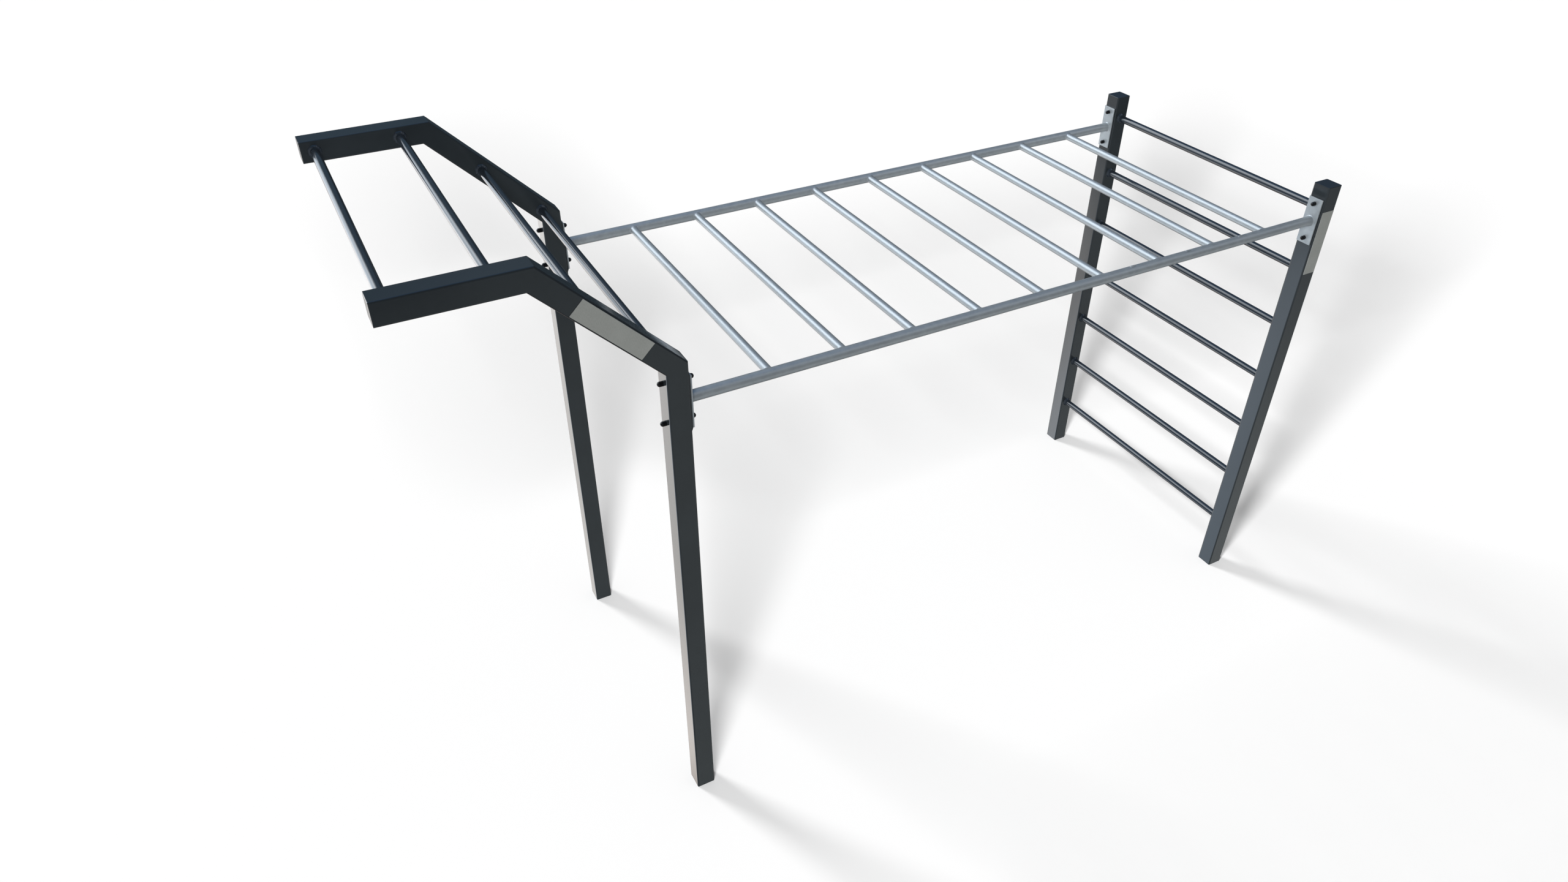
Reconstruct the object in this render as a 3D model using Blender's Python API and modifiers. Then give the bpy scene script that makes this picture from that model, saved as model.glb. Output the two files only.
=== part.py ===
"""Monkey bars: a ladder of rungs between a wall-bar frame and a bent pull-up frame.

Metres, +Z up. +X runs from the bent frame to the wall-bar frame and +Y from the near side to
the far side. The origin is on the ground, under the middle of the length and of the width.
"""

import math

import bmesh
import bpy
from mathutils import Matrix, Vector

# Driving dimensions of the whole frame
BAR_PITCH = 0.300  # rungs, wall bars and pull-up bars all share it
FRAME_SPACING = 3.082  # between the two frames' post axes
HALF_WIDTH = 0.658  # from the middle of the width to a post's axis
WALL_POST_TOP = 2.200
ARM_AXIS_HEIGHT = 2.610
ARM_REACH = 0.870  # from the bent posts' axis to the arms' end
RAIL_HEIGHT = 2.037

# Square tube
TUBE_SIDE = 0.080
TUBE_WALL = 0.003
TUBE_CORNER = 0.006
HALF_TUBE = TUBE_SIDE / 2
FOOT_THICKNESS = 0.004  # closes the bottom of each post
CAP_THICKNESS = 0.004  # closes the top of a wall post and the end of an arm

# Round tube
BAR_DIAMETER = 0.0337
RAIL_DIAMETER = 0.0424
ROUND_WALL = 0.0026
BAR_STEPS = 24
RAIL_STEPS = 32

# Bars and where they start
RUNG_COUNT = 9
FIRST_RUNG = 0.359  # from the bent posts' axis
WALL_BAR_COUNT = 7
LOWEST_WALL_BAR = 0.287
OUTER_GRIP_SETBACK = 0.048  # from the arms' end to the outermost pull-up bar
SLOPE_GRIP_SETBACK = 0.252  # down the slope, from its upper corner to its first bar

# Bolted joint between a rail and a post
PLATE_SIZE = (0.069, 0.210)  # across and up
PLATE_THICKNESS = 0.005
PLATE_CORNER = 0.0015
PAD_THICKNESS = 0.005
PAD_TAPERS = {"bent": 0.013, "wall": 0}  # height of the slanted part at each end of a pad
BOLT_SPACING = 0.160
BOLT_DIAMETER = 0.012
HOLE_DIAMETER = 0.013
DOME_DIAMETER = 0.019
DOME_SKIRT = 0.0105  # straight part under the rounded end
DOME_HEIGHT = 0.020
NUT_DEPTH = 0.011  # of a cap nut's blind hole
BOLT_TIP_ROOM = 0.001  # left at the end of that hole
BOLT_STEPS = 16
HOLE_STEPS = 24

# Marking plates
LABEL_SIZE = (0.068, 0.300)  # across and along
LABEL_THICKNESS = 0.0017
LABEL_CORNER = 0.003
SLOPE_LABEL_START = 0.1325  # up the slope, from its lower corner
POST_LABEL_TOP = 2.085

# Pieces that touch keep this between them
GAP = 0.0003

# Tubes are made this much too long where a mitre trims them, and cutters run this far past a face
OVERRUN = 0.080
CUTTER_OVERRUN = 0.010
MITRE_BLOCK = 0.4
SMOOTH_ANGLE = math.radians(35)

# Places that follow from the sizes above
SLOPE_ANGLE = math.radians(45)
LENGTH = ARM_REACH + FRAME_SPACING + HALF_TUBE + GAP + DOME_HEIGHT
BENT_X = ARM_REACH - LENGTH / 2
WALL_X = BENT_X + FRAME_SPACING
LOWER_CORNER_HEIGHT = WALL_POST_TOP - HALF_TUBE * math.tan(SLOPE_ANGLE / 2)
SLOPE_RISE = ARM_AXIS_HEIGHT - LOWER_CORNER_HEIGHT
LOWER_CORNER = Vector((BENT_X, 0, LOWER_CORNER_HEIGHT))
UPPER_CORNER = LOWER_CORNER + Vector((-SLOPE_RISE * math.tan(SLOPE_ANGLE), 0, SLOPE_RISE))
UP = Vector((0, 0, 1))
UP_SLOPE = (UPPER_CORNER - LOWER_CORNER).normalized()
OUTWARD = Vector((-1, 0, 0))
JOINT_DEPTH = HALF_TUBE + GAP + PAD_THICKNESS + GAP + PLATE_THICKNESS  # post axis to plate face
BOLT_GRIP = JOINT_DEPTH + HALF_TUBE + GAP  # from a bolt head's seat to the plate face
SIDES = {"near": -1, "far": 1}

# The frames, with the post axis in X and the direction in which each faces the other
FRAMES = {"bent": (BENT_X, 1), "wall": (WALL_X, -1)}

# Colour, metallic and roughness of each finish
FINISHES = {
    "post_coat": ((0.035, 0.045, 0.052), 0.2, 0.22),
    "bar_coat": ((0.030, 0.040, 0.052), 0.2, 0.25),
    "ladder_coat": ((0.46, 0.50, 0.54), 0.6, 0.35),
    "cap_black": ((0.010, 0.010, 0.012), 0.0, 0.35),
    "label_metal": ((0.42, 0.43, 0.41), 0.7, 0.45),
}


def clear_scene():
    for obj in list(bpy.data.objects):
        bpy.data.objects.remove(obj, do_unlink=True)


def make_collection(name):
    collection = bpy.data.collections.new(name)
    bpy.context.scene.collection.children.link(collection)
    return collection


def make_finish(name):
    colour, metallic, roughness = FINISHES[name]
    material = bpy.data.materials.new(name)
    material.use_nodes = True
    shader = material.node_tree.nodes["Principled BSDF"]
    shader.inputs["Base Color"].default_value = (*colour, 1)
    shader.inputs["Metallic"].default_value = metallic
    shader.inputs["Roughness"].default_value = roughness
    material.diffuse_color = (*colour, 1)
    return material


def pointing(direction):
    """The turn that takes +Z to a direction along Y, or to one in the XZ plane."""
    if abs(direction.y) > 0.5:
        return Matrix.Rotation(math.radians(-90) * direction.y, 4, "X")
    return Matrix.Rotation(math.atan2(direction.x, direction.z), 4, "Y")


def add_part(name, mesh, finish, origin, direction=UP):
    """A piece whose local +Z points along direction, from origin."""
    part = bpy.data.objects.new(name, mesh)
    part.matrix_world = Matrix.Translation(origin) @ pointing(direction)
    if not mesh.materials:
        mesh.materials.append(materials[finish])
    parts.objects.link(part)
    return part


def add_cutter(name, mesh, origin, direction=UP):
    cutter = bpy.data.objects.new(name, mesh)
    cutter.matrix_world = Matrix.Translation(origin) @ pointing(direction)
    cutter.hide_render = True
    cutter.display_type = "WIRE"
    cutters.objects.link(cutter)
    return cutter


def cut(part, cutter):
    boolean = part.modifiers.new(cutter.name, "BOOLEAN")
    boolean.operation = "DIFFERENCE"
    boolean.solver = "EXACT"
    boolean.object = cutter


def smooth(mesh):
    mesh.shade_smooth()
    mesh.set_sharp_from_angle(angle=SMOOTH_ANGLE)
    return mesh


def finished_mesh(name, bm):
    mesh = bpy.data.meshes.new(name)
    bm.to_mesh(mesh)
    bm.free()
    return smooth(mesh)


def block_mesh(name, size, corner=0.0):
    """A block standing on its origin, with the edges along Z rounded."""
    bm = bmesh.new()
    bmesh.ops.create_cube(bm, size=1)
    bmesh.ops.scale(bm, vec=size, verts=bm.verts)
    bmesh.ops.translate(bm, vec=(0, 0, size[2] / 2), verts=bm.verts)
    if corner:
        upright = [edge for edge in bm.edges if abs(edge.verts[0].co.z - edge.verts[1].co.z) > size[2] / 2]
        bmesh.ops.bevel(bm, geom=upright, offset=corner, segments=3, profile=0.5, affect="EDGES")
    return finished_mesh(name, bm)


def rod_mesh(name, diameter, length, steps):
    """A solid round rod from its origin along +Z."""
    bm = bmesh.new()
    bmesh.ops.create_cone(
        bm, cap_ends=True, segments=steps, radius1=diameter / 2, radius2=diameter / 2, depth=length
    )
    bmesh.ops.translate(bm, vec=(0, 0, length / 2), verts=bm.verts)
    return finished_mesh(name, bm)


def turned_mesh(name, profile, steps, closed=False):
    """A profile of (radius, height) points, listed down its outer side, turned about Z."""
    guide_mesh = bpy.data.meshes.new(name)
    edges = [(i, i + 1) for i in range(len(profile) - 1)]
    if closed:
        edges.append((len(profile) - 1, 0))
    guide_mesh.from_pydata([(radius, 0, height) for radius, height in profile], edges, [])
    guide = bpy.data.objects.new(name, guide_mesh)
    cutters.objects.link(guide)
    screw = guide.modifiers.new("turn", "SCREW")
    screw.steps = steps
    screw.render_steps = steps
    screw.use_merge_vertices = True
    screw.merge_threshold = 0.00001
    depsgraph = bpy.context.evaluated_depsgraph_get()
    mesh = bpy.data.meshes.new_from_object(guide.evaluated_get(depsgraph))
    bpy.data.objects.remove(guide)
    bpy.data.meshes.remove(guide_mesh)
    mesh.name = name
    return smooth(mesh)


def round_tube_mesh(name, diameter, length, steps):
    outer = diameter / 2
    inner = outer - ROUND_WALL
    profile = [(outer, length), (outer, 0), (inner, 0), (inner, length)]
    return turned_mesh(name, profile, steps, closed=True)


def add_square_tube(name, origin, direction, length, closed_foot=False):
    """A hollow square tube from origin along direction."""
    solid = block_mesh(name, (TUBE_SIDE, TUBE_SIDE, length), TUBE_CORNER)
    tube = add_part(name, solid, "post_coat", origin, direction)
    inner_side = TUBE_SIDE - 2 * TUBE_WALL
    start = FOOT_THICKNESS if closed_foot else -CUTTER_OVERRUN
    depth = length + CUTTER_OVERRUN - start
    hollow = block_mesh(name + "_hollow", (inner_side, inner_side, depth), TUBE_CORNER - TUBE_WALL)
    cut(tube, add_cutter(hollow.name, hollow, origin + start * direction, direction))
    return tube


def mitre(tube, corner, removed_side):
    """Trims a tube at the plane through corner, on the side that removed_side points to."""
    block = block_mesh(tube.name + "_mitre", (MITRE_BLOCK, MITRE_BLOCK, MITRE_BLOCK))
    cut(tube, add_cutter(block.name, block, corner - removed_side * GAP / 2, removed_side))


def add_cap(name, seat, direction):
    cap = block_mesh(name, (TUBE_SIDE, TUBE_SIDE, CAP_THICKNESS), TUBE_CORNER)
    add_part(name, cap, "post_coat", seat, direction)


def add_bent_post(side):
    """An upright, a sloping tube and a level arm, mitred where they meet."""
    across = Vector((0, SIDES[side] * HALF_WIDTH, 0))
    foot = Vector((BENT_X, 0, 0)) + across
    lower = LOWER_CORNER + across
    upper = UPPER_CORNER + across
    lower_normal = (UP + UP_SLOPE).normalized()
    upper_normal = (UP_SLOPE + OUTWARD).normalized()

    post = add_square_tube("bent_post_" + side, foot, UP, lower.z + OVERRUN, closed_foot=True)
    mitre(post, lower, lower_normal)

    slope_length = (upper - lower).length + 2 * OVERRUN
    slope = add_square_tube("slope_tube_" + side, lower - OVERRUN * UP_SLOPE, UP_SLOPE, slope_length)
    mitre(slope, lower, -lower_normal)
    mitre(slope, upper, upper_normal)

    arm_length = ARM_REACH - (BENT_X - upper.x) - CAP_THICKNESS - GAP
    arm = add_square_tube("arm_tube_" + side, upper - OVERRUN * OUTWARD, OUTWARD, arm_length + OVERRUN)
    mitre(arm, upper, -upper_normal)
    add_cap("arm_end_cap_" + side, upper + (arm_length + GAP) * OUTWARD, OUTWARD)
    return post


def add_wall_post(side):
    foot = Vector((WALL_X, SIDES[side] * HALF_WIDTH, 0))
    length = WALL_POST_TOP - CAP_THICKNESS - GAP
    post = add_square_tube("wall_post_" + side, foot, UP, length, closed_foot=True)
    add_cap("wall_post_cap_" + side, foot + (length + GAP) * UP, UP)
    return post


def add_cross_bars(names, places):
    """Round bars across the frame, each from one post's inner face to the other's."""
    reach = HALF_WIDTH - HALF_TUBE - GAP
    mesh = round_tube_mesh("cross_bar", BAR_DIAMETER, 2 * reach, BAR_STEPS)
    for name, place in zip(names, places):
        add_part(name, mesh, "bar_coat", place - Vector((0, reach, 0)), Vector((0, 1, 0)))


def add_wall_bars():
    names = [f"wall_bar_{i + 1}" for i in range(WALL_BAR_COUNT)]
    places = [Vector((WALL_X, 0, LOWEST_WALL_BAR + i * BAR_PITCH)) for i in range(WALL_BAR_COUNT)]
    add_cross_bars(names, places)


def add_grip_bars():
    """Two pull-up bars between the arms and two between the slopes, numbered from the arms' end."""
    arm_end = Vector((BENT_X - ARM_REACH, 0, ARM_AXIS_HEIGHT))
    on_arms = [arm_end - (OUTER_GRIP_SETBACK + i * BAR_PITCH) * OUTWARD for i in range(2)]
    on_slopes = [UPPER_CORNER - (SLOPE_GRIP_SETBACK + i * BAR_PITCH) * UP_SLOPE for i in range(2)]
    add_cross_bars([f"grip_bar_{i + 1}" for i in range(4)], on_arms + on_slopes)


def add_ladder():
    """Two rails between the flange plates, and rungs whose ends are coped to the rails."""
    start = BENT_X + JOINT_DEPTH + GAP
    length = WALL_X - JOINT_DEPTH - GAP - start
    along = Vector((1, 0, 0))
    rail = round_tube_mesh("rail", RAIL_DIAMETER, length, RAIL_STEPS)
    copes = []
    for side, sign in SIDES.items():
        origin = Vector((start, sign * HALF_WIDTH, RAIL_HEIGHT))
        add_part("rail_" + side, rail, "ladder_coat", origin, along)
        cope = rod_mesh("cope_" + side, RAIL_DIAMETER + 2 * GAP, length, RAIL_STEPS)
        copes.append(add_cutter(cope.name, cope, origin, along))

    for i in range(RUNG_COUNT):
        mesh = round_tube_mesh(f"rung_{i + 1}", BAR_DIAMETER, 2 * HALF_WIDTH, BAR_STEPS)
        origin = Vector((BENT_X + FIRST_RUNG + i * BAR_PITCH, -HALF_WIDTH, RAIL_HEIGHT))
        rung = add_part(mesh.name, mesh, "ladder_coat", origin, Vector((0, 1, 0)))
        for cope in copes:
            cut(rung, cope)


def dome_profile():
    """Half the outline of a fastener's domed cap, from its tip down to its seat."""
    radius = DOME_DIAMETER / 2
    rise = DOME_HEIGHT - DOME_SKIRT
    arc_steps = 4
    arc = []
    for i in range(arc_steps + 1):
        angle = math.radians(90) * i / arc_steps
        arc.append((radius * math.sin(angle), DOME_SKIRT + rise * math.cos(angle)))
    return arc + [(radius, 0)]


def bolt_mesh():
    """A domed bolt whose seat is at its origin and whose shank points down."""
    shank = BOLT_DIAMETER / 2
    tip = -(BOLT_GRIP + NUT_DEPTH - BOLT_TIP_ROOM)
    return turned_mesh("bolt", dome_profile() + [(shank, 0), (shank, tip), (0, tip)], BOLT_STEPS)


def cap_nut_mesh():
    """A domed nut whose seat is at its origin, with a blind hole up into it."""
    bore = HOLE_DIAMETER / 2
    hole = [(bore, 0), (bore, NUT_DEPTH), (0, NUT_DEPTH)]
    return turned_mesh("cap_nut", dome_profile() + hole, BOLT_STEPS)


def plate_mesh(name):
    """A flange plate standing against local Z = 0, its height along local X."""
    across, height = PLATE_SIZE
    return block_mesh(name, (height, across, PLATE_THICKNESS), PLATE_CORNER)


def pad_mesh(name, taper):
    """A pad against local Z = 0, its height along local X, whose ends may slant outwards below."""
    across, height = PLATE_SIZE
    bm = bmesh.new()
    bmesh.ops.create_cube(bm, size=1)
    bmesh.ops.scale(bm, vec=(height, across, PAD_THICKNESS), verts=bm.verts)
    bmesh.ops.translate(bm, vec=(0, 0, PAD_THICKNESS / 2), verts=bm.verts)
    for vert in bm.verts:
        if vert.co.z < PAD_THICKNESS / 2:
            vert.co.x += math.copysign(taper, vert.co.x)
    return finished_mesh(name, bm)


def add_bolted_joint(frame, side, post):
    """The pad, flange plate, bolts and cap nuts that hold one rail end to a post."""
    post_x, facing = FRAMES[frame]
    inward = Vector((facing, 0, 0))
    axis = Vector((post_x, SIDES[side] * HALF_WIDTH, RAIL_HEIGHT))
    label = f"{frame}_{side}"
    pad_seat = axis + (HALF_TUBE + GAP) * inward
    plate_seat = pad_seat + (PAD_THICKNESS + GAP) * inward
    pad_name = "backing_pad_" + label
    pad = add_part(pad_name, pad_mesh(pad_name, PAD_TAPERS[frame]), "post_coat", pad_seat, inward)
    plate_name = "flange_plate_" + label
    plate = add_part(plate_name, plate_mesh(plate_name), "ladder_coat", plate_seat, inward)
    for level, sign in (("upper", 1), ("lower", -1)):
        height = Vector((0, 0, sign * BOLT_SPACING / 2))
        head_seat = axis + height - (HALF_TUBE + GAP) * inward
        nut_seat = axis + height + (JOINT_DEPTH + GAP) * inward
        place = f"{label}_{level}"
        add_part("bolt_" + place, bolts, "cap_black", head_seat, -inward)
        add_part("cap_nut_" + place, nuts, "cap_black", nut_seat, inward)
        hole = rod_mesh("hole_" + place, HOLE_DIAMETER, BOLT_GRIP + 2 * CUTTER_OVERRUN, HOLE_STEPS)
        hole_cutter = add_cutter(hole.name, hole, head_seat - CUTTER_OVERRUN * inward, inward)
        for piece in (post, pad, plate):
            cut(piece, hole_cutter)


def add_label(name, middle, along):
    """A blank marking plate on the near face of a near tube, its length along the tube."""
    across, length = LABEL_SIZE
    mesh = block_mesh(name, (across, length, LABEL_THICKNESS), LABEL_CORNER)
    mesh.materials.append(materials["label_metal"])
    label = bpy.data.objects.new(name, mesh)
    outward = Vector((0, -1, 0))
    turn = Matrix((along.cross(outward), along, outward)).transposed().to_4x4()
    label.matrix_world = Matrix.Translation(middle + (HALF_TUBE + GAP) * outward) @ turn
    parts.objects.link(label)


def add_labels():
    near = Vector((0, -HALF_WIDTH, 0))
    half_length = LABEL_SIZE[1] / 2
    slope_middle = LOWER_CORNER + near + (SLOPE_LABEL_START + half_length) * UP_SLOPE
    add_label("slope_label_plate", slope_middle, UP_SLOPE)
    post_middle = Vector((WALL_X, 0, POST_LABEL_TOP - half_length)) + near
    add_label("post_label_plate", post_middle, UP)


clear_scene()
parts = make_collection("monkey_bars")
cutters = make_collection("monkey_bars_cutters")
materials = {name: make_finish(name) for name in FINISHES}
bolts = bolt_mesh()
nuts = cap_nut_mesh()

for side in SIDES:
    posts = {"bent": add_bent_post(side), "wall": add_wall_post(side)}
    for frame, post in posts.items():
        add_bolted_joint(frame, side, post)
add_wall_bars()
add_grip_bars()
add_ladder()
add_labels()
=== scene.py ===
import math

import bmesh
import bpy
from mathutils import Matrix, Vector, noise


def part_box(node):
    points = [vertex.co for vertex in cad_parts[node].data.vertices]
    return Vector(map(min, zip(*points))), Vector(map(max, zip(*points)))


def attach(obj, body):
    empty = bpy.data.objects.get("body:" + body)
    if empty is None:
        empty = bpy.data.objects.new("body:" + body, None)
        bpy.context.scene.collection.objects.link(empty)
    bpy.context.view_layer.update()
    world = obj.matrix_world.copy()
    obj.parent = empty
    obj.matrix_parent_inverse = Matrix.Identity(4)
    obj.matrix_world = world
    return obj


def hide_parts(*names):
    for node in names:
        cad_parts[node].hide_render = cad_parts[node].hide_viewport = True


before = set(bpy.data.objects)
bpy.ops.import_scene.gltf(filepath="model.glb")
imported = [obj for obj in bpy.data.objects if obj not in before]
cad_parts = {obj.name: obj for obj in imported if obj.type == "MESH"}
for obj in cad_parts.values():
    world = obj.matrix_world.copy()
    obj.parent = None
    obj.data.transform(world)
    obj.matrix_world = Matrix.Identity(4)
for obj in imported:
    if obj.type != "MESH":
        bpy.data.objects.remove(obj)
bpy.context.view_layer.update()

# Directions
ALONG = Vector((1, 0, 0))
ACROSS = Vector((0, 1, 0))
UP = Vector((0, 0, 1))
SIDES = {"near": -1, "far": 1}
LEVELS = ("upper", "lower")
ENDS = {"bent": 1, "wall": -1}  # each frame, and which way along X the rails run from it

# Sizes that the frame's boxes don't give
TUBE_CORNER = 0.006
TUBE_CORNER_STEPS = 6
END_BEVEL = 0.0018  # at the posts' feet and on cap plates
BEVEL_WAIST = 0.3  # how far in the middle of a rounded end bevel lies, as a share of the bevel
SEAM_LAYER = "seam"
SEAM_REACH = 0.015  # over this length the seam of a joint fades into the tube
PLATE_BEVEL = 0.0008
PAD_BEVEL = 0.0004
LABEL_CORNER = 0.0015
LABEL_BEVEL = 0.0004
BAR_STEPS = 64
RAIL_STEPS = 72
BEAD_STEPS = 120
BEAD_SECTION_STEPS = 8
BAR_WELD_LEG = 0.0085
RUNG_WELD_LEG = 0.0045
RAIL_WELD_LEG = 0.0038
BAR_WELD_FULLNESS = 1.45  # a weld's section is hollow at 0, straight at 1 and full at 2
RUNG_WELD_FULLNESS = 0.45
RAIL_WELD_FULLNESS = 0.5
FACE_WELD_ROOT = 0.0008  # how deep a weld closes inside the bar
RUNG_WELD_ROOT = 0.0010
RUNG_WELD_INTO_RAIL = 0.0006
RIPPLES = 18  # round one weld
RIPPLE_DEPTH = 0.012
WANDER_DEPTH = 0.16
RIPPLE_DRIFT = 2.0  # how far the wander shifts the ripples, in radians
WANDER_PACE = 2.2
WANDER_APART = 7.31  # keeps the wanders of neighbouring seeds unlike
RUNG_END_RING = 0.2  # the small ring that closes a rung's end, as a share of its radius
DOME_STEPS = 48
DOME_ROUND_STEPS = 16
DOME_SEAT = 0.94  # radii, as shares of the lip's
DOME_SKIRT = 0.975
DOME_TIP_RADIUS = 0.0002
DOME_LIP = (0.0005, 0.0016, 0.0022)  # heights where the lip is full, where it ends, and the skirt starts
DRIP_LENGTH = 0.040
DRIP_WIDTH = 0.011
DRIP_HEIGHT = 0.0042
DRIP_LEAD = 0.2  # the steep end's share of the length
DRIP_TAIL_POWER = 1.6  # above 1 the tail thins out sooner
DRIP_CROWN_POWER = 0.8  # below 1 its section is rounder than a parabola
DRIP_LEAST_RISE = 0.02
DRIP_NARROWEST = 0.35  # where it is lowest, as a share of its width
DRIP_ROOT = 0.0015  # how deep it closes inside the rail
DRIP_LONG_STEPS = 28
DRIP_WIDE_STEPS = 14

CAMERA_PLACE = Vector((-2.1884, -3.4382, 4.0406))
CAMERA_HEADING = 27.76  # degrees from +Y towards +X
CAMERA_DOWN = 36.36
CAMERA_LENS = 24.451
CAMERA_SENSOR = 36.0


def middle(node):
    low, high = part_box(node)
    return (low + high) / 2


def size(node):
    low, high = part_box(node)
    return high - low


def face_x(node, towards):
    """Where a node's box ends in X, on its +X side (1) or its -X side (-1)."""
    low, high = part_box(node)
    return high.x if towards > 0 else low.x


# --- Mesh building -------------------------------------------------------------------------


def add_piece(name, bm, material, replaced=(), sharp=35):
    """A finished mesh as a piece of the object, which rides on its one rigid body.

    Normals weighted by face area keep the rounded corners from tilting the flat faces' shading.
    """
    bmesh.ops.recalc_face_normals(bm, faces=bm.faces)
    mesh = bpy.data.meshes.new(name)
    bm.to_mesh(mesh)
    bm.free()
    mesh.shade_smooth()
    mesh.set_sharp_from_angle(angle=math.radians(sharp))
    mesh.materials.append(material)
    piece = bpy.data.objects.new(name, mesh)
    bpy.context.scene.collection.objects.link(piece)
    weighted = piece.modifiers.new("flat faces stay flat", "WEIGHTED_NORMAL")
    weighted.keep_sharp = True
    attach(piece, "root")
    if replaced:
        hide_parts(*replaced)
    return piece


def loft(rings, closed_loop=False):
    """A mesh through rings of as many points each: capped at both ends, or closed on itself."""
    bm = bmesh.new()
    rows = [[bm.verts.new(point) for point in ring] for ring in rings]
    pairs = list(zip(rows, rows[1:]))
    if closed_loop:
        pairs.append((rows[-1], rows[0]))
    count = len(rows[0])
    for first, second in pairs:
        for i in range(count):
            j = (i + 1) % count
            bm.faces.new((first[i], first[j], second[j], second[i]))
    if not closed_loop:
        bm.faces.new(rows[0])
        bm.faces.new(rows[-1])
    return bm


def circle(centre, radius, first, second, steps):
    """Points round a circle in the plane of two unit directions."""
    points = []
    for i in range(steps):
        angle = math.tau * i / steps
        points.append(centre + radius * (math.cos(angle) * first + math.sin(angle) * second))
    return points


def rounded_square(half, corner):
    """Points (u, v) round a square with rounded corners."""
    points = []
    reach = half - corner
    for quarter, (u, v) in enumerate(((1, 1), (-1, 1), (-1, -1), (1, -1))):
        for i in range(TUBE_CORNER_STEPS + 1):
            angle = math.radians(90) * (quarter + i / TUBE_CORNER_STEPS)
            points.append((u * reach + corner * math.cos(angle), v * reach + corner * math.sin(angle)))
    return points


def square_tube(half, corner_point, direction, ends):
    """A square tube whose axis runs through corner_point along direction.

    Each end is (point, normal, bevel): the plane that closes it, and the bevel round it. An end
    without a bevel is a joint ground flush, a mitre or a cap's, so the seam layer marks it as unworn.
    """
    side = ACROSS.cross(direction).normalized()
    seam_reach = min(SEAM_REACH, (ends[1][0] - ends[0][0]).length / 4)
    rings = []
    for place, (point, normal, bevel) in enumerate(ends):
        inward = 1 if place == 0 else -1
        if bevel:
            insets = [(bevel, 0.0), (bevel * BEVEL_WAIST, bevel * BEVEL_WAIST), (0.0, bevel)]
        else:
            insets = [(0.0, 0.0), (0.0, seam_reach)]
        end_rings = []
        for inset, back in insets:
            ring = []
            for u, v in rounded_square(half - inset, TUBE_CORNER - inset):
                across = corner_point + u * ACROSS + v * side
                travel = (point - across).dot(normal) / direction.dot(normal)
                ring.append(across + (travel + inward * back) * direction)
            end_rings.append(ring)
        rings.extend(end_rings if place == 0 else reversed(end_rings))
    bm = loft(rings)
    seam = bm.verts.layers.float.new(SEAM_LAYER)
    count = len(rings[0])
    bm.verts.ensure_lookup_table()
    for ring, bevel in ((0, ends[0][2]), (len(rings) - 1, ends[1][2])):
        if not bevel:
            for vert in bm.verts[ring * count : (ring + 1) * count]:
                vert[seam] = 1.0
    return bm


def turned(centre, axis, profile, steps):
    """A profile of (radius, distance along axis) points turned about axis, closed at its ends."""
    first = axis.orthogonal().normalized()
    second = axis.cross(first)
    return loft([circle(centre + d * axis, r, first, second, steps) for r, d in profile])


def round_bar(start, end, radius, steps):
    axis = (end - start).normalized()
    length = (end - start).length
    return turned(start, axis, [(radius, 0), (radius, length)], steps)


def bevelled_block(low, high, bevel, slant=None):
    """A block from corner to corner with every edge rounded. Slant moves its corners first."""
    bm = bmesh.new()
    bmesh.ops.create_cube(bm, size=1)
    bmesh.ops.scale(bm, vec=high - low, verts=bm.verts)
    bmesh.ops.translate(bm, vec=(low + high) / 2, verts=bm.verts)
    if slant:
        for vert in bm.verts:
            slant(vert.co)
    bmesh.ops.bevel(bm, geom=list(bm.edges), offset=bevel, segments=3, profile=0.5, affect="EDGES")
    return bm


def weld_section(back, joint, out, inner, fullness):
    """A weld's section: a curve from back to out, as full as fullness says, closed inside."""
    chord = (back + out) / 2
    control = joint + fullness * (chord - joint)
    points = []
    for i in range(BEAD_SECTION_STEPS + 1):
        t = i / BEAD_SECTION_STEPS
        points.append((1 - t) ** 2 * back + 2 * t * (1 - t) * control + t**2 * out)
    points.append(inner)
    return points


def ripple(seed, turn):
    """A weld's leg varies a little along it, in ripples and in a slow wander."""
    around = Vector((seed * WANDER_APART, WANDER_PACE * math.cos(turn), WANDER_PACE * math.sin(turn)))
    wander = noise.noise(around)
    return 1 + RIPPLE_DEPTH * math.cos(RIPPLES * turn + RIPPLE_DRIFT * wander) + WANDER_DEPTH * wander


def face_weld(bar_centre, axis, radius, leg, seed, fullness):
    """A fillet weld round a bar that meets a flat face at bar_centre. Axis points along the bar, away."""
    first = axis.orthogonal().normalized()
    second = axis.cross(first)
    sections = []
    for i in range(BEAD_STEPS):
        turn = math.tau * i / BEAD_STEPS
        outward = math.cos(turn) * first + math.sin(turn) * second
        joint = bar_centre + radius * outward
        reach = leg * ripple(seed, turn)
        inner = joint - FACE_WELD_ROOT * outward
        back = joint + reach * axis
        out = joint + reach * outward
        sections.append(weld_section(back, joint, out, inner, fullness))
    return loft(sections, closed_loop=True)


# --- Materials -----------------------------------------------------------------------------


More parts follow.
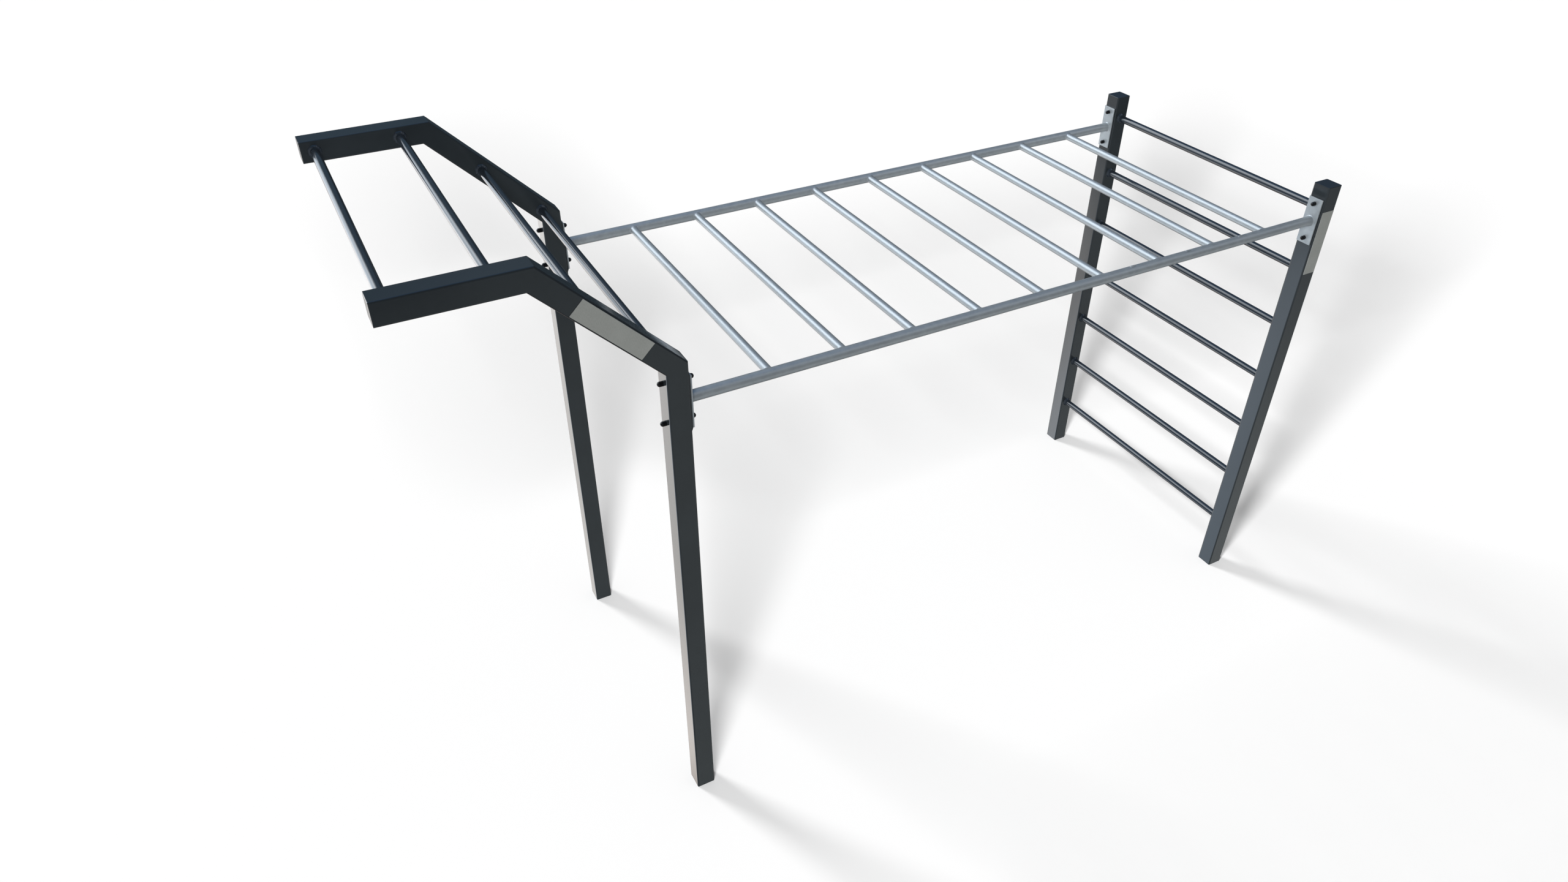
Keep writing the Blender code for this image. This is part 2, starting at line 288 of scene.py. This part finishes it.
class Shader:
    """A material being put together: its nodes, its links and its Principled BSDF."""

    def __init__(self, name):
        self.material = bpy.data.materials.new(name)
        self.material.use_nodes = True
        self.nodes = self.material.node_tree.nodes
        self.links = self.material.node_tree.links
        self.surface = self.nodes["Principled BSDF"]
        self.coordinates = self.nodes.new("ShaderNodeTexCoord").outputs["Object"]

    def set(self, **values):
        for key, value in values.items():
            self.surface.inputs[key.replace("_", " ")].default_value = value

    def feed(self, key, output):
        self.links.new(output, self.surface.inputs[key])

    def stretched(self, scale):
        mapping = self.nodes.new("ShaderNodeMapping")
        mapping.inputs["Scale"].default_value = scale
        self.links.new(self.coordinates, mapping.inputs["Vector"])
        return mapping.outputs["Vector"]

    def noise(self, scale, detail=2.0, roughness=0.5, vector=None):
        node = self.nodes.new("ShaderNodeTexNoise")
        node.inputs["Scale"].default_value = scale
        node.inputs["Detail"].default_value = detail
        node.inputs["Roughness"].default_value = roughness
        self.links.new(vector or self.coordinates, node.inputs["Vector"])
        return node.outputs["Fac"]

    def cells(self, scale):
        node = self.nodes.new("ShaderNodeTexVoronoi")
        node.inputs["Scale"].default_value = scale
        self.links.new(self.coordinates, node.inputs["Vector"])
        return node.outputs["Distance"]

    def span(self, value, low, high, to_low, to_high):
        node = self.nodes.new("ShaderNodeMapRange")
        for key, number in (
            ("From Min", low),
            ("From Max", high),
            ("To Min", to_low),
            ("To Max", to_high),
        ):
            node.inputs[key].default_value = number
        self.links.new(value, node.inputs["Value"])
        return node.outputs["Result"]

    def math(self, operation, first, second):
        node = self.nodes.new("ShaderNodeMath")
        node.operation = operation
        for socket, value in zip(node.inputs, (first, second)):
            if isinstance(value, (int, float)):
                socket.default_value = value
            else:
                self.links.new(value, socket)
        return node.outputs["Value"]

    def mix(self, factor, first, second):
        node = self.nodes.new("ShaderNodeMix")
        node.data_type = "RGBA"
        self.links.new(factor, node.inputs["Factor"])
        for key, value in (("A", first), ("B", second)):
            socket = next(s for s in node.inputs if s.name == key and s.type == "RGBA")
            if isinstance(value, tuple):
                socket.default_value = (*value, 1)
            else:
                self.links.new(value, socket)
        return next(s for s in node.outputs if s.type == "RGBA")

    def edges(self, radius):
        """1 on edges tighter than radius, 0 on flat surfaces and along seams."""
        bevel = self.nodes.new("ShaderNodeBevel")
        bevel.samples = 4
        bevel.inputs["Radius"].default_value = radius
        geometry = self.nodes.new("ShaderNodeNewGeometry")
        dot = self.nodes.new("ShaderNodeVectorMath")
        dot.operation = "DOT_PRODUCT"
        self.links.new(bevel.outputs["Normal"], dot.inputs[0])
        self.links.new(geometry.outputs["Normal"], dot.inputs[1])
        seam = self.nodes.new("ShaderNodeAttribute")
        seam.attribute_name = SEAM_LAYER
        unseamed = self.span(seam.outputs["Fac"], 0.0, 0.3, 1.0, 0.0)
        sharp = self.span(dot.outputs["Value"], 0.985, 0.90, 0.0, 1.0)
        return self.math("MULTIPLY", sharp, unseamed)

    def bump(self, height, strength, distance, under=None):
        node = self.nodes.new("ShaderNodeBump")
        node.inputs["Strength"].default_value = strength
        node.inputs["Distance"].default_value = distance
        self.links.new(height, node.inputs["Height"])
        if under:
            self.links.new(under, node.inputs["Normal"])
        return node.outputs["Normal"]


def dark_coat(name, colour, worn, rough):
    """Anthracite coating: orange peel, faint clouds, dull rub marks and thin edges."""
    shader = Shader(name)
    clouds = shader.noise(3.5, 4.0, 0.6)
    speckle = shader.noise(1400, 2.0, 0.7)
    rubs = shader.noise(22, 6.0, 0.72, shader.stretched((1.0, 1.0, 0.35)))
    lighter = tuple(c * 1.22 for c in colour)
    tone = shader.mix(shader.span(clouds, 0.35, 0.68, 0.0, 1.0), colour, lighter)
    grain = shader.span(speckle, 0.55, 0.75, 0.0, 0.35)
    grained = shader.mix(grain, tone, tuple(c * 1.7 for c in colour))
    patches = shader.span(rubs, 0.42, 0.62, 0.15, 0.9)
    patchy = shader.math("MULTIPLY", shader.edges(0.0022), patches)
    shader.feed("Base Color", shader.mix(patchy, grained, worn))
    rubbed = shader.span(rubs, 0.4, 0.75, 0.0, 0.07)
    dull = shader.math("ADD", rubbed, shader.span(speckle, 0.3, 0.7, -0.01, 0.02))
    shader.feed("Roughness", shader.math("ADD", dull, rough))
    peel = shader.bump(shader.noise(260, 1.5, 0.4), 0.045, 0.0005)
    shader.feed("Normal", shader.bump(speckle, 0.04, 0.0001, peel))
    shader.set(Metallic=0.0, IOR=1.5)
    return shader.material


def silver_coat(name):
    """Silver-grey coating on the ladder: a fine metallic grain, soft mottling and handling marks."""
    shader = Shader(name)
    mottle = shader.noise(38, 5.0, 0.62)
    flake = shader.noise(1900, 1.0, 0.5)
    clouds = shader.noise(2.6, 3.0, 0.55)
    mottled = shader.span(mottle, 0.36, 0.66, 0.0, 1.0)
    base = shader.mix(mottled, (0.262, 0.294, 0.316), (0.312, 0.346, 0.370))
    flaked = shader.mix(shader.span(flake, 0.56, 0.72, 0.0, 0.45), base, (0.47, 0.485, 0.50))
    cloudy = shader.span(clouds, 0.45, 0.75, 0.0, 0.35)
    clouded = shader.mix(cloudy, flaked, (0.255, 0.285, 0.305))
    worn = shader.math("MULTIPLY", shader.edges(0.0018), shader.span(mottle, 0.40, 0.65, 0.1, 0.7))
    shader.feed("Base Color", shader.mix(worn, clouded, (0.46, 0.475, 0.49)))
    shader.feed("Roughness", shader.span(mottle, 0.3, 0.7, 0.33, 0.45))
    peel = shader.bump(shader.noise(300, 1.5, 0.4), 0.10, 0.0005)
    shader.feed("Normal", shader.bump(flake, 0.10, 0.0001, peel))
    shader.set(Metallic=0.38)
    return shader.material


def black_cap():
    """Moulded black caps: smooth, with a faint mould texture and dust in it."""
    shader = Shader("cap_black_look")
    dust = shader.noise(420, 4.0, 0.65)
    dusty = shader.span(dust, 0.5, 0.8, 0.0, 0.5)
    shader.feed("Base Color", shader.mix(dusty, (0.0035, 0.0035, 0.004), (0.010, 0.010, 0.011)))
    shader.feed("Roughness", shader.span(dust, 0.3, 0.7, 0.26, 0.38))
    shader.set(Specular_IOR_Level=0.3)
    shader.feed("Normal", shader.bump(shader.noise(900, 2.0, 0.5), 0.06, 0.0002))
    return shader.material


def label_sheet():
    """Bare aluminium sheet with a fine dotted grain, blank."""
    shader = Shader("label_metal_look")
    streaks = shader.noise(900, 3.0, 0.6, shader.stretched((1.0, 1.0, 0.12)))
    dots = shader.cells(420)
    clouds = shader.noise(14, 3.0, 0.6)
    brushed = shader.span(streaks, 0.35, 0.68, 0.0, 1.0)
    tone = shader.mix(brushed, (0.37, 0.38, 0.355), (0.46, 0.47, 0.445))
    dotted = shader.mix(shader.span(dots, 0.25, 0.05, 0.0, 0.55), tone, (0.25, 0.255, 0.24))
    clouded = shader.mix(shader.span(clouds, 0.45, 0.8, 0.0, 0.4), dotted, (0.50, 0.51, 0.485))
    shader.feed("Base Color", shader.mix(shader.edges(0.0012), clouded, (0.6, 0.61, 0.6)))
    shader.feed("Roughness", shader.span(streaks, 0.3, 0.7, 0.38, 0.52))
    shader.feed("Normal", shader.bump(dots, 0.12, 0.0002))
    shader.set(Metallic=0.55)
    return shader.material


POST_LOOK = dark_coat("post_coat_look", (0.016, 0.020, 0.023), (0.046, 0.051, 0.055), 0.06)
# The bars wear the same anthracite paint as the posts: their bluer base and edge colours are a painted
# blue sheen, not a different paint.
BAR_LOOK = dark_coat("bar_coat_look", (0.014, 0.019, 0.026), (0.046, 0.053, 0.060), 0.12)
LADDER_LOOK = silver_coat("ladder_coat_look")
CAP_LOOK = black_cap()
LABEL_LOOK = label_sheet()


# --- Square tubes --------------------------------------------------------------------------

POST_HALF = size("bent_post_near").x / 2
BENT_X = middle("bent_post_near").x
WALL_X = middle("wall_post_near").x
POST_Y = middle("bent_post_far").y
ARM_Z = middle("arm_tube_near").z
POST_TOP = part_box("wall_post_cap_near")[1].z
SLOPE = Vector((-1, 0, 1)).normalized()
MITRE = math.radians(22.5)
LOWER_CORNER = Vector((BENT_X, 0, POST_TOP - POST_HALF * math.tan(MITRE)))
UPPER_CORNER = LOWER_CORNER + (ARM_Z - LOWER_CORNER.z) * Vector((-1, 0, 1))


def build_bent_posts():
    """Each is three lengths that meet in ground-flush mitres."""
    lower_normal = (UP + SLOPE).normalized()
    upper_normal = (SLOPE - ALONG).normalized()
    for side, sign in SIDES.items():
        shift = sign * POST_Y * ACROSS
        foot = Vector((BENT_X, 0, 0)) + shift
        lower = LOWER_CORNER + shift
        upper = UPPER_CORNER + shift
        arm_end = Vector((face_x("arm_end_cap_" + side, 1), upper.y, ARM_Z))
        runs = (
            ("bent_post_", foot, UP, ((foot, UP, END_BEVEL), (lower, lower_normal, 0))),
            ("slope_tube_", lower, SLOPE, ((lower, lower_normal, 0), (upper, upper_normal, 0))),
            ("arm_tube_", upper, -ALONG, ((upper, upper_normal, 0), (arm_end, -ALONG, 0))),
        )
        for prefix, point, direction, ends in runs:
            node = prefix + side
            tube = square_tube(POST_HALF, point, direction, ends)
            add_piece(node + "_coated", tube, POST_LOOK, [node])


def build_wall_posts():
    """Straight posts, from the floor to their cap plates."""
    for side, sign in SIDES.items():
        node = "wall_post_" + side
        foot = Vector((WALL_X, sign * POST_Y, 0))
        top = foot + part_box("wall_post_cap_" + side)[0].z * UP
        ends = ((foot, UP, END_BEVEL), (top, UP, 0))
        tube = square_tube(POST_HALF, foot, UP, ends)
        add_piece(node + "_coated", tube, POST_LOOK, [node])


def build_tube_caps():
    """Plates that close the wall posts and the arms, ground flush with the tubes."""
    for side in SIDES:
        for node, direction in (("wall_post_cap_" + side, UP), ("arm_end_cap_" + side, -ALONG)):
            centre = middle(node)
            half_depth = abs(size(node).dot(direction)) / 2
            inner = centre - half_depth * direction
            outer = centre + half_depth * direction
            ends = ((inner, direction, 0), (outer, direction, END_BEVEL))
            cap = square_tube(POST_HALF, centre, direction, ends)
            add_piece(node + "_coated", cap, POST_LOOK, [node])


# --- Round bars and their welds --------------------------------------------------------------


def build_cross_bars():
    """Wall bars and pull-up bars, each welded between two posts."""
    for node in sorted(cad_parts):
        if not node.startswith(("wall_bar_", "grip_bar_")):
            continue
        centre = middle(node)
        radius = size(node).z / 2
        face = POST_Y - POST_HALF
        start = centre - face * ACROSS
        end = centre + face * ACROSS
        bar = round_bar(start, end, radius, BAR_STEPS)
        add_piece(node + "_coated", bar, BAR_LOOK, [node])
        for side, sign in SIDES.items():
            seed = len(node) + sign + centre.x * 3 + centre.z * 5
            joint = centre + sign * face * ACROSS
            weld = face_weld(joint, -sign * ACROSS, radius, BAR_WELD_LEG, seed, BAR_WELD_FULLNESS)
            add_piece(f"{node}_weld_{side}", weld, BAR_LOOK)


RAIL_RADIUS = size("rail_near").z / 2
RAIL_Z = middle("rail_near").z


def rail_point(x, arc, sign):
    """A point on a rail's surface: arc is the distance round it from its innermost line."""
    angle = arc / RAIL_RADIUS
    y = sign * (POST_Y - RAIL_RADIUS * math.cos(angle))
    return Vector((x, y, RAIL_Z + RAIL_RADIUS * math.sin(angle)))


def rung_joint(centre_x, radius, turn):
    """Where a rung's surface meets the rail, as (x, arc)."""
    arc = RAIL_RADIUS * math.asin(radius * math.sin(turn) / RAIL_RADIUS)
    return centre_x + radius * math.cos(turn), arc


def rung_weld(centre_x, radius, sign, seed):
    """The fillet in the saddle between a rung and a rail."""
    sections = []
    step = math.tau / BEAD_STEPS
    for i in range(BEAD_STEPS):
        turn = i * step
        x, arc = rung_joint(centre_x, radius, turn)
        x_next, arc_next = rung_joint(centre_x, radius, turn + step / 2)
        x_last, arc_last = rung_joint(centre_x, radius, turn - step / 2)
        normal = Vector((arc_next - arc_last, -(x_next - x_last))).normalized()
        reach = RUNG_WELD_LEG * ripple(seed, turn)
        joint = rail_point(x, arc, sign)
        out = rail_point(x + reach * normal.x, arc + reach * normal.y, sign)
        back = joint - sign * reach * ACROSS
        axis_point = Vector((centre_x, joint.y, RAIL_Z))
        inner = joint + RUNG_WELD_ROOT * (axis_point - joint).normalized()
        inner = inner + sign * RUNG_WELD_INTO_RAIL * ACROSS
        sections.append(weld_section(back, joint, out, inner, RUNG_WELD_FULLNESS))
    return loft(sections, closed_loop=True)


def coped_rung(centre_x, radius):
    """A rung whose ends follow the rails' surfaces. A small ring in each end closes it."""
    rings = []
    for sign in (-1, 1):
        saddle = []
        middle_ring = []
        for i in range(BAR_STEPS):
            turn = math.tau * i / BAR_STEPS
            saddle.append(rail_point(*rung_joint(centre_x, radius, turn), sign))
            inner_joint = rung_joint(centre_x, radius * RUNG_END_RING, turn)
            middle_ring.append(rail_point(*inner_joint, sign))
        rings.extend((middle_ring, saddle) if sign < 0 else (saddle, middle_ring))
    return loft(rings)


def build_ladder():
    """The rails between their plates, the rungs between the rails, and all their welds."""
    for side, sign in SIDES.items():
        node = "rail_" + side
        start = Vector((face_x("flange_plate_bent_" + side, 1), sign * POST_Y, RAIL_Z))
        end = Vector((face_x("flange_plate_wall_" + side, -1), sign * POST_Y, RAIL_Z))
        rail = round_bar(start, end, RAIL_RADIUS, RAIL_STEPS)
        add_piece(node + "_coated", rail, LADDER_LOOK, [node])
        for place, point, axis in (("bent", start, ALONG), ("wall", end, -ALONG)):
            seed = sign + point.x
            weld = face_weld(point, axis, RAIL_RADIUS, RAIL_WELD_LEG, seed, RAIL_WELD_FULLNESS)
            add_piece(f"{node}_weld_{place}", weld, LADDER_LOOK)
    rungs = sorted(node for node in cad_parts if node.startswith("rung_"))
    for index, node in enumerate(rungs):
        centre_x = middle(node).x
        radius = size(node).x / 2
        add_piece(node + "_coated", coped_rung(centre_x, radius), LADDER_LOOK, [node])
        for side, sign in SIDES.items():
            weld = rung_weld(centre_x, radius, sign, index * 3 + sign)
            add_piece(f"{node}_weld_{side}", weld, LADDER_LOOK)


def drip_rise(t):
    """A drip's height at t along it, as a share of its greatest: a steep end and a long tail."""
    if t < DRIP_LEAD:
        rise = math.sin(math.radians(90) * t / DRIP_LEAD)
    else:
        rise = math.cos(math.radians(90) * (t - DRIP_LEAD) / (1 - DRIP_LEAD)) ** DRIP_TAIL_POWER
    return max(rise, DRIP_LEAST_RISE)


def drip(centre_x):
    """A drip of coating on top of the near rail, lofted along it."""
    rings = []
    for i in range(1, DRIP_LONG_STEPS):
        t = i / DRIP_LONG_STEPS
        x = centre_x + (t - 0.5) * DRIP_LENGTH
        rise = drip_rise(t)
        half_width = DRIP_WIDTH / 2 * (DRIP_NARROWEST + (1 - DRIP_NARROWEST) * rise)
        ring = []
        for j in range(DRIP_WIDE_STEPS + 1):
            s = 2 * j / DRIP_WIDE_STEPS - 1
            surface = rail_point(x, math.radians(90) * RAIL_RADIUS + s * half_width, -1)
            outward = Vector((0, surface.y + POST_Y, surface.z - RAIL_Z)).normalized()
            ring.append(surface + DRIP_HEIGHT * rise * (1 - s * s) ** DRIP_CROWN_POWER * outward)
        ring.append(Vector((x, -POST_Y, RAIL_Z + RAIL_RADIUS - DRIP_ROOT)))
        rings.append(ring)
    return loft(rings)


def build_drips():
    """Three drips, in the middle of the last three gaps between rungs."""
    for number, index in enumerate((6, 7, 8), start=1):
        centre_x = (middle(f"rung_{index}").x + middle(f"rung_{index + 1}").x) / 2
        name = f"rail_near_drip_{number}"
        add_piece(name, drip(centre_x), LADDER_LOOK, sharp=60)


# --- Bolted joints and labels ------------------------------------------------------------------


def dome_profile(radius, height):
    """From the seat, round a small lip, up a straight skirt and over a rounded end."""
    skirt_top = height - radius
    full, end, skirt = DOME_LIP
    profile = [(radius * DOME_SEAT, 0.0), (radius, full), (radius, end), (radius * DOME_SKIRT, skirt)]
    for i in range(DOME_ROUND_STEPS + 1):
        angle = math.radians(90) * i / DOME_ROUND_STEPS
        reach = max(radius * DOME_SKIRT * math.cos(angle), DOME_TIP_RADIUS)
        profile.append((reach, skirt_top + radius * math.sin(angle)))
    return profile


def add_dome(node, seat, axis, radius, height):
    """A domed cap in the place of a nut or a bolt, from its seat along axis."""
    dome = turned(seat, axis, dome_profile(radius, height), DOME_STEPS)
    add_piece(node + "_dome", dome, CAP_LOOK, [node])


def build_fasteners():
    """Cap nuts on the plates, and behind the posts the bolts' heads, which have the same dome."""
    for end, inward in ENDS.items():
        for side in SIDES:
            for level in LEVELS:
                place = f"{end}_{side}_{level}"
                nut = "cap_nut_" + place
                bolt = "bolt_" + place
                centre = middle(nut)
                radius = size(nut).z / 2
                height = size(nut).x
                nut_seat = Vector((face_x(nut, -inward), centre.y, centre.z))
                head_seat = Vector((face_x(bolt, -inward) + inward * height, centre.y, centre.z))
                add_dome(nut, nut_seat, inward * ALONG, radius, height)
                add_dome(bolt, head_seat, -inward * ALONG, radius, height)


def slant_to_plate(plate, outer_x):
    """Moves a pad's corners on its plate's side to the plate's own height."""
    low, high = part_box(plate)

    def slant(corner):
        if abs(corner.x - outer_x) < 1e-5:
            corner.z = low.z if corner.z < RAIL_Z else high.z

    return slant


def build_plates():
    """The rails' flange plates, and the pads between them and the posts."""
    for end, inward in ENDS.items():
        for side in SIDES:
            plate = f"flange_plate_{end}_{side}"
            edged = bevelled_block(*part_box(plate), PLATE_BEVEL)
            add_piece(plate + "_edged", edged, LADDER_LOOK, [plate])
            pad = f"backing_pad_{end}_{side}"
            slant = slant_to_plate(plate, face_x(pad, inward))
            block = bevelled_block(*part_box(pad), PAD_BEVEL, slant)
            add_piece(pad + "_edged", block, POST_LOOK, [pad])


def build_labels():
    """Two like blank sheets with rounded corners, on the near post and the near slope."""
    width = size("post_label_plate").x
    length = size("post_label_plate").z
    thickness = size("post_label_plate").y
    for node, along in (("post_label_plate", UP), ("slope_label_plate", SLOPE)):
        bm = bmesh.new()
        bmesh.ops.create_cube(bm, size=1)
        bmesh.ops.scale(bm, vec=(width, length, thickness), verts=bm.verts)
        upright = [e for e in bm.edges if abs(e.verts[0].co.z - e.verts[1].co.z) > thickness / 2]
        bmesh.ops.bevel(bm, geom=upright, offset=LABEL_CORNER, segments=6, profile=0.5, affect="EDGES")
        rim = [e for e in bm.edges if all(v.co.z > 0 for v in e.verts) and len(e.link_faces) == 2]
        rim = [e for e in rim if abs(e.calc_face_angle()) > 1.0]
        bmesh.ops.bevel(bm, geom=rim, offset=LABEL_BEVEL, segments=2, profile=0.5, affect="EDGES")
        turn = Matrix((along.cross(ACROSS), along, -ACROSS)).transposed().to_4x4()
        bmesh.ops.transform(bm, matrix=Matrix.Translation(middle(node)) @ turn, verts=bm.verts)
        add_piece(node + "_sheet", bm, LABEL_LOOK, [node])


build_bent_posts()
build_wall_posts()
build_tube_caps()
build_cross_bars()
build_ladder()
build_drips()
build_fasteners()
build_plates()
build_labels()


# --- Stage, light and camera --------------------------------------------------------------------

FLOOR_SIZE = 90.0
FLOOR_ALBEDO = 0.90
AMBIENT = 0.27
SUN_STRENGTH = 1.55
SUN_HEIGHT = math.radians(36)
SUN_ACROSS = Vector((-0.472, 0.881, 0))  # the side it stands on
SUN_SPREAD = 0.24
LAMP_PLACE = Vector((-2.45, -2.64, 4.20))
LAMP_ON_FLOOR = 0.56  # what it adds everywhere to a white floor
LAMP_RADIUS = 0.45
# What the object's gloss shows, as soft round patches: heading from +Y towards +X, height, colour,
# and the angles from the middle where a patch starts to fade and where it ends
REFLECTED_ROOM = (
    (0, 90, (0.05, 0.07, 0.10), 0, 180),
    (148, -44, (0.40, 0.43, 0.43), 13, 32),
    (108, -31, (0.27, 0.28, 0.28), 13, 27),
    (38, -38, (0.45, 0.41, 0.38), 8, 20),
    (-27, -35, (1.45, 1.40, 1.35), 17, 22),
    (-36, -22, (0.75, 0.75, 0.76), 8, 25),
    (-21, -15, (1.30, 1.30, 1.35), 5, 13),
    (-64, -38, (1.25, 1.50, 1.80), 12, 20),
    (-24, -68, (0.52, 0.42, 0.36), 8, 26),
    (0, -22, (0.45, 0.44, 0.43), 8, 18),
    (-38, 38, (5.7, 6.0, 6.3), 8, 31),
    (-32, 8, (2.6, 2.9, 3.2), 8, 26),
    (10, 75, (0.12, 0.30, 0.60), 10, 52),
    (128, 42, (0.85, 0.92, 1.05), 10, 27),
    (8, 23, (0.06, 0.11, 0.16), 8, 25),
    (16, 34, (0.09, 0.10, 0.11), 4, 16),
    (50, 19, (0.02, 0.05, 0.10), 10, 24),
    (28, -12, (0.02, 0.03, 0.035), 10, 22),
    (-130, -6, (0.42, 0.44, 0.47), 25, 60),
    (74, -8, (0.32, 0.34, 0.36), 10, 26),
)


def build_floor():
    bm = bmesh.new()
    bmesh.ops.create_grid(bm, x_segments=2, y_segments=2, size=FLOOR_SIZE / 2)
    mesh = bpy.data.meshes.new("studio_floor")
    bm.to_mesh(mesh)
    bm.free()
    floor = bpy.data.objects.new("studio_floor", mesh)
    bpy.context.scene.collection.objects.link(floor)
    floor.visible_glossy = False
    shader = Shader("studio_floor_look")
    shader.set(Base_Color=(FLOOR_ALBEDO, FLOOR_ALBEDO, FLOOR_ALBEDO, 1))
    shader.set(Roughness=0.9, Specular_IOR_Level=0.0)
    mesh.materials.append(shader.material)


def build_world():
    """White to the camera, a dimmer white on matt surfaces, and REFLECTED_ROOM in the gloss."""
    world = bpy.data.worlds.new("studio")
    bpy.context.scene.world = world
    world.use_nodes = True
    nodes = world.node_tree.nodes
    links = world.node_tree.links
    nodes.clear()
    direction = nodes.new("ShaderNodeTexCoord").outputs["Generated"]

    def lobe(heading, height, colour, core, edge):
        heading, height = math.radians(heading), math.radians(height)
        level = math.cos(height)
        towards = Vector((level * math.sin(heading), level * math.cos(heading), math.sin(height)))
        dot = nodes.new("ShaderNodeVectorMath")
        dot.operation = "DOT_PRODUCT"
        links.new(direction, dot.inputs[0])
        dot.inputs[1].default_value = towards
        ramp = nodes.new("ShaderNodeMapRange")
        ramp.interpolation_type = "SMOOTHSTEP"
        ramp.inputs["From Min"].default_value = math.cos(math.radians(edge))
        ramp.inputs["From Max"].default_value = math.cos(math.radians(core))
        links.new(dot.outputs["Value"], ramp.inputs["Value"])
        tint = nodes.new("ShaderNodeVectorMath")
        tint.operation = "SCALE"
        tint.inputs[0].default_value = colour
        links.new(ramp.outputs["Result"], tint.inputs["Scale"])
        return tint.outputs["Vector"]

    room = None
    for glow in (lobe(*row) for row in REFLECTED_ROOM):
        if room is None:
            room = glow
            continue
        add = nodes.new("ShaderNodeVectorMath")
        add.operation = "ADD"
        links.new(room, add.inputs[0])
        links.new(glow, add.inputs[1])
        room = add.outputs["Vector"]

    plain = nodes.new("ShaderNodeBackground")
    plain.inputs["Color"].default_value = (1, 1, 1, 1)
    reflected = nodes.new("ShaderNodeBackground")
    links.new(room, reflected.inputs["Color"])
    ray = nodes.new("ShaderNodeLightPath")
    level = nodes.new("ShaderNodeMapRange")
    links.new(ray.outputs["Is Camera Ray"], level.inputs["Value"])
    level.inputs["To Min"].default_value = AMBIENT
    level.inputs["To Max"].default_value = 1.0
    links.new(level.outputs["Result"], plain.inputs["Strength"])
    choose = nodes.new("ShaderNodeMixShader")
    links.new(ray.outputs["Is Glossy Ray"], choose.inputs["Fac"])
    links.new(plain.outputs["Background"], choose.inputs[1])
    links.new(reflected.outputs["Background"], choose.inputs[2])
    output = nodes.new("ShaderNodeOutputWorld")
    links.new(choose.outputs["Shader"], output.inputs["Surface"])


def even_out(light):
    """Strength that grows with the distance cubed, so that the lamp lights a whole floor evenly."""
    light.use_nodes = True
    nodes = light.node_tree.nodes
    growth = nodes.new("ShaderNodeMath")
    growth.operation = "POWER"
    growth.inputs[1].default_value = 3.0
    distance = nodes.new("ShaderNodeLightPath").outputs["Ray Length"]
    light.node_tree.links.new(distance, growth.inputs[0])
    light.node_tree.links.new(growth.outputs["Value"], nodes["Emission"].inputs["Strength"])


def build_lights():
    sun = bpy.data.objects.new("studio_key", bpy.data.lights.new("studio_key", "SUN"))
    sun.data.energy = SUN_STRENGTH
    sun.data.angle = SUN_SPREAD
    sun.visible_glossy = False
    side = SUN_ACROSS.normalized()
    towards = math.cos(SUN_HEIGHT) * side + math.sin(SUN_HEIGHT) * UP
    sun.rotation_euler = towards.to_track_quat("Z", "Y").to_euler()
    bpy.context.scene.collection.objects.link(sun)
    lamp = bpy.data.objects.new("studio_fill", bpy.data.lights.new("studio_fill", "POINT"))
    lamp.data.energy = 4 * math.pi**2 * LAMP_ON_FLOOR / LAMP_PLACE.z
    lamp.data.shadow_soft_size = LAMP_RADIUS
    lamp.location = LAMP_PLACE
    lamp.visible_glossy = False
    bpy.context.scene.collection.objects.link(lamp)
    even_out(lamp.data)


def build_camera():
    camera = bpy.data.objects.new("camera", bpy.data.cameras.new("camera"))
    camera.data.lens = CAMERA_LENS
    camera.data.sensor_width = CAMERA_SENSOR
    camera.data.sensor_fit = "HORIZONTAL"
    camera.data.clip_end = 200.0
    camera.location = CAMERA_PLACE
    camera.rotation_euler = (math.radians(90 - CAMERA_DOWN), 0.0, math.radians(-CAMERA_HEADING))
    bpy.context.scene.collection.objects.link(camera)
    bpy.context.scene.camera = camera


build_floor()
build_world()
build_lights()
build_camera()
bpy.context.scene.view_settings.view_transform = "Standard"
bpy.context.view_layer.update()
